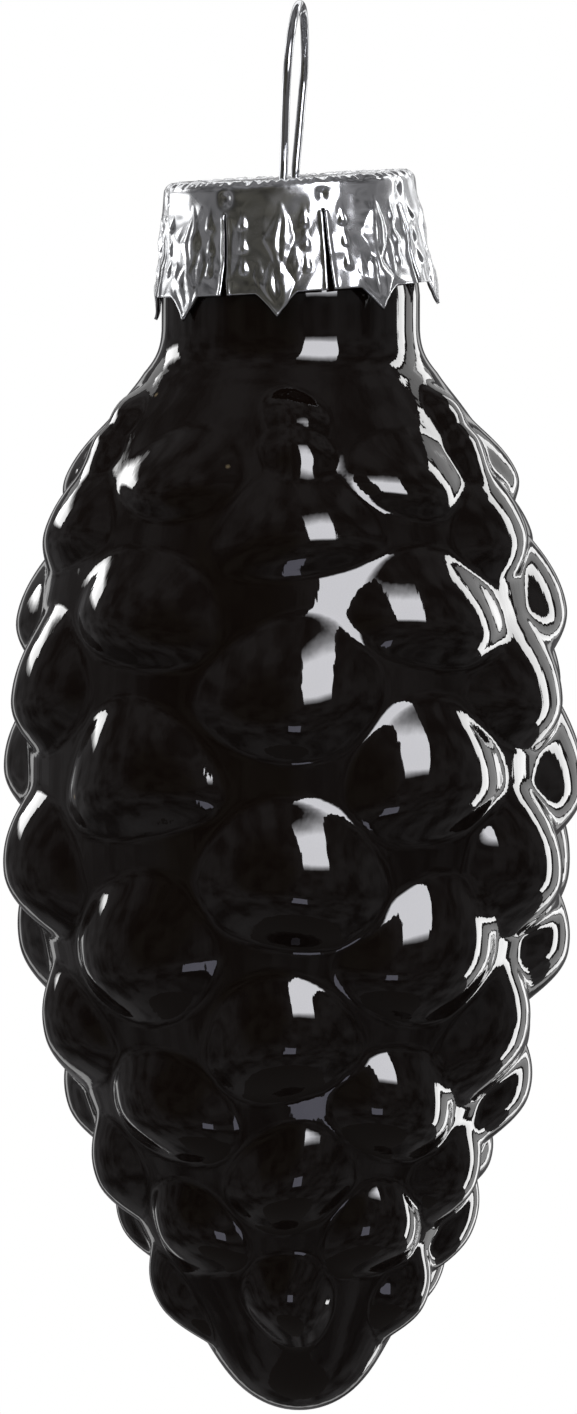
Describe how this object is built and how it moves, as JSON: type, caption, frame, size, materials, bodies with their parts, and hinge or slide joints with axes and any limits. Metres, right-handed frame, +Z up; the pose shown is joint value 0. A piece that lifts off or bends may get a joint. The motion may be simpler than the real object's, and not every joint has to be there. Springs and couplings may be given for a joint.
{
  "type": "pine cone ornament",
  "caption": "Hanging ornament: a hollow blown glass pine cone, point down, with a stamped metal crown cap and a wire hanging loop.",
  "frame": {"origin": "where a hook bears, inside the top of the wire loop", "axes": "+Z up along the cone from its tip to its loop, +X to the right and -Y to the front"},
  "size_m": [0.0337, 0.0341, 0.0821],
  "materials": {
    "black_glass": "opaque black, fire-polished high gloss",
    "silver_sheet": "bright, stamped and slightly crinkled",
    "bright_wire": "bright drawn wire"
  },
  "bodies": {
    "root": {"glass_cone": "black_glass", "crown_cap": "silver_sheet", "wire_loop": "bright_wire"}
  },
  "joints": []
}
